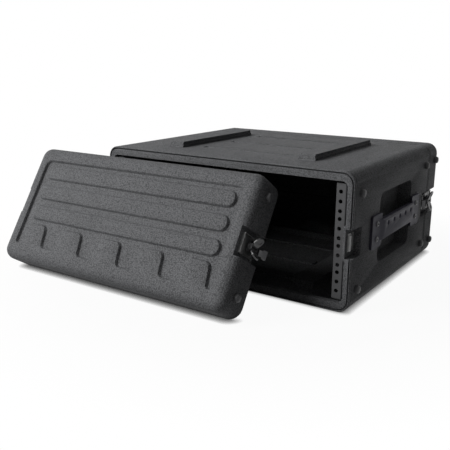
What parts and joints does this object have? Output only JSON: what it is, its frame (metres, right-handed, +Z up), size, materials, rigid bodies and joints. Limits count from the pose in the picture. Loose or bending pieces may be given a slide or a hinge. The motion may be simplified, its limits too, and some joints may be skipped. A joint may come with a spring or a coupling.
{
  "type": "equipment rack case",
  "caption": "Moulded equipment rack case with removable covers at both ends, recessed twist latches, bolted side handles, stacking rails and drilled rack rails.",
  "frame": {"origin": "middle of the base of the case body, on the floor", "axes": "+X to the right as the open front is seen, +Y from the front to the rear, +Z up"},
  "size_m": [0.6647, 0.6062, 0.243],
  "materials": {
    "shell_plastic": "black moulded polyethylene with a fine pebbled grain, satin on the edges",
    "black_rubber": "plain matte black rubber",
    "rail_steel": "black powder-coated steel",
    "handle_nylon": "smooth black nylon with a faint blue cast",
    "black_screw": "black oxide steel",
    "latch_black": "black coated steel, worn on the edges",
    "latch_steel": "zinc-plated sheet steel"
  },
  "bodies": {
    "case": {"case_shell": "shell_plastic", "front_seal": "black_rubber", "rear_seal": "black_rubber", "front_right_rail": "rail_steel", "front_left_rail": "rail_steel", "rear_left_rail": "rail_steel", "rear_right_rail": "rail_steel", "rail_screws": "black_screw", "right_handle": "handle_nylon", "left_handle": "handle_nylon", "handle_screws": "black_screw", "front_right_keeper": "latch_steel", "front_left_keeper": "latch_steel", "rear_left_keeper": "latch_steel", "rear_right_keeper": "latch_steel", "keeper_screws": "black_screw", "case_buttons": "black_rubber"},
    "front_cover_body": {"front_cover": "shell_plastic", "front_cover_buttons": "black_rubber", "front_latch_rivets": "latch_steel", "front_right_latch_base": "latch_steel", "front_left_latch_base": "latch_steel"},
    "rear_cover_body": {"rear_cover": "shell_plastic", "rear_cover_buttons": "black_rubber", "rear_latch_rivets": "latch_steel", "rear_left_latch_base": "latch_steel", "rear_right_latch_base": "latch_steel"},
    "front_right_latch_rotor_body": {"front_right_latch_rotor": "latch_black"},
    "front_right_latch_wing_upper_body": {"front_right_latch_wing_upper": "latch_black"},
    "front_right_latch_wing_lower_body": {"front_right_latch_wing_lower": "latch_black"},
    "front_right_latch_slider_body": {"front_right_latch_slider": "latch_steel"},
    "front_right_latch_hook_body": {"front_right_latch_hook": "latch_steel"},
    "front_left_latch_rotor_body": {"front_left_latch_rotor": "latch_black"},
    "front_left_latch_wing_upper_body": {"front_left_latch_wing_upper": "latch_black"},
    "front_left_latch_wing_lower_body": {"front_left_latch_wing_lower": "latch_black"},
    "front_left_latch_slider_body": {"front_left_latch_slider": "latch_steel"},
    "front_left_latch_hook_body": {"front_left_latch_hook": "latch_steel"},
    "rear_left_latch_rotor_body": {"rear_left_latch_rotor": "latch_black"},
    "rear_left_latch_wing_upper_body": {"rear_left_latch_wing_upper": "latch_black"},
    "rear_left_latch_wing_lower_body": {"rear_left_latch_wing_lower": "latch_black"},
    "rear_left_latch_slider_body": {"rear_left_latch_slider": "latch_steel"},
    "rear_left_latch_hook_body": {"rear_left_latch_hook": "latch_steel"},
    "rear_right_latch_rotor_body": {"rear_right_latch_rotor": "latch_black"},
    "rear_right_latch_wing_upper_body": {"rear_right_latch_wing_upper": "latch_black"},
    "rear_right_latch_wing_lower_body": {"rear_right_latch_wing_lower": "latch_black"},
    "rear_right_latch_slider_body": {"rear_right_latch_slider": "latch_steel"},
    "rear_right_latch_hook_body": {"rear_right_latch_hook": "latch_steel"}
  },
  "joints": [
    {"name": "front_cover_lift", "type": "slide", "parent": "case", "child": "front_cover_body", "axis": [0, 0, 1], "range_m": [0, 0.25]},
    {"name": "rear_cover_pull", "type": "slide", "parent": "case", "child": "rear_cover_body", "axis": [0, 1, 0], "range_m": [0, 0.12]},
    {"name": "front_right_latch_turn", "type": "hinge", "parent": "front_cover_body", "child": "front_right_latch_rotor_body", "pos_m": [0.1185, -0.27074, 0.10991], "axis": [1, 0, 0], "range_deg": [-180, 0]},
    {"name": "front_right_latch_wing_upper_fold", "type": "hinge", "parent": "front_right_latch_rotor_body", "child": "front_right_latch_wing_upper_body", "pos_m": [0.1283, -0.26913, 0.11244], "axis": [0, 0.8434, -0.5373], "range_deg": [-40, 40]},
    {"name": "front_right_latch_wing_lower_fold", "type": "hinge", "parent": "front_right_latch_rotor_body", "child": "front_right_latch_wing_lower_body", "pos_m": [0.1283, -0.27235, 0.10738], "axis": [0, -0.8434, 0.5373], "range_deg": [-40, 40]},
    {"name": "front_right_latch_draw", "type": "slide", "parent": "front_cover_body", "child": "front_right_latch_slider_body", "axis": [0, 0.8434, -0.5373], "range_m": [-0.009, 0]},
    {"name": "front_right_latch_hook_tilt", "type": "hinge", "parent": "front_right_latch_slider_body", "child": "front_right_latch_hook_body", "pos_m": [0.1209, -0.24797, 0.0954], "axis": [0, -0.5373, -0.8434], "range_deg": [-25, 12]},
    {"name": "front_left_latch_turn", "type": "hinge", "parent": "front_cover_body", "child": "front_left_latch_rotor_body", "pos_m": [-0.3745, -0.27074, 0.10991], "axis": [-1, 0, 0], "range_deg": [-180, 0]},
    {"name": "front_left_latch_wing_upper_fold", "type": "hinge", "parent": "front_left_latch_rotor_body", "child": "front_left_latch_wing_upper_body", "pos_m": [-0.3843, -0.26913, 0.11244], "axis": [0, -0.8434, 0.5373], "range_deg": [-40, 40]},
    {"name": "front_left_latch_wing_lower_fold", "type": "hinge", "parent": "front_left_latch_rotor_body", "child": "front_left_latch_wing_lower_body", "pos_m": [-0.3843, -0.27235, 0.10738], "axis": [0, 0.8434, -0.5373], "range_deg": [-40, 40]},
    {"name": "front_left_latch_draw", "type": "slide", "parent": "front_cover_body", "child": "front_left_latch_slider_body", "axis": [0, 0.8434, -0.5373], "range_m": [-0.009, 0]},
    {"name": "front_left_latch_hook_tilt", "type": "hinge", "parent": "front_left_latch_slider_body", "child": "front_left_latch_hook_body", "pos_m": [-0.3769, -0.24797, 0.0954], "axis": [0, 0.5373, 0.8434], "range_deg": [-25, 12]},
    {"name": "rear_left_latch_turn", "type": "hinge", "parent": "rear_cover_body", "child": "rear_left_latch_rotor_body", "pos_m": [-0.2465, 0.2098, 0.1163], "axis": [-1, 0, 0], "range_deg": [-180, 0]},
    {"name": "rear_left_latch_wing_upper_fold", "type": "hinge", "parent": "rear_left_latch_rotor_body", "child": "rear_left_latch_wing_upper_body", "pos_m": [-0.2563, 0.2098, 0.1193], "axis": [0, -1, 0], "range_deg": [-20, 60]},
    {"name": "rear_left_latch_wing_lower_fold", "type": "hinge", "parent": "rear_left_latch_rotor_body", "child": "rear_left_latch_wing_lower_body", "pos_m": [-0.2563, 0.2098, 0.1133], "axis": [0, 1, 0], "range_deg": [-20, 60]},
    {"name": "rear_left_latch_draw", "type": "slide", "parent": "rear_cover_body", "child": "rear_left_latch_slider_body", "axis": [0, -1, 0], "range_m": [-0.009, 0]},
    {"name": "rear_left_latch_hook_tilt", "type": "hinge", "parent": "rear_left_latch_slider_body", "child": "rear_left_latch_hook_body", "pos_m": [-0.2489, 0.1828, 0.1163], "axis": [0, 0, -1], "range_deg": [-25, 12]},
    {"name": "rear_right_latch_turn", "type": "hinge", "parent": "rear_cover_body", "child": "rear_right_latch_rotor_body", "pos_m": [0.2465, 0.2098, 0.1163], "axis": [1, 0, 0], "range_deg": [-180, 0]},
    {"name": "rear_right_latch_wing_upper_fold", "type": "hinge", "parent": "rear_right_latch_rotor_body", "child": "rear_right_latch_wing_upper_body", "pos_m": [0.2563, 0.2098, 0.1193], "axis": [0, 1, 0], "range_deg": [-20, 60]},
    {"name": "rear_right_latch_wing_lower_fold", "type": "hinge", "parent": "rear_right_latch_rotor_body", "child": "rear_right_latch_wing_lower_body", "pos_m": [0.2563, 0.2098, 0.1133], "axis": [0, -1, 0], "range_deg": [-20, 60]},
    {"name": "rear_right_latch_draw", "type": "slide", "parent": "rear_cover_body", "child": "rear_right_latch_slider_body", "axis": [0, -1, 0], "range_m": [-0.009, 0]},
    {"name": "rear_right_latch_hook_tilt", "type": "hinge", "parent": "rear_right_latch_slider_body", "child": "rear_right_latch_hook_body", "pos_m": [0.2489, 0.1828, 0.1163], "axis": [0, 0, 1], "range_deg": [-25, 12]}
  ],
  "couplings": [
    {"joint": "front_right_latch_draw", "follows": "front_right_latch_turn", "m_per_rad": 0.0028648},
    {"joint": "front_left_latch_draw", "follows": "front_left_latch_turn", "m_per_rad": 0.0028648},
    {"joint": "rear_left_latch_draw", "follows": "rear_left_latch_turn", "m_per_rad": 0.0028648},
    {"joint": "rear_right_latch_draw", "follows": "rear_right_latch_turn", "m_per_rad": 0.0028648}
  ]
}
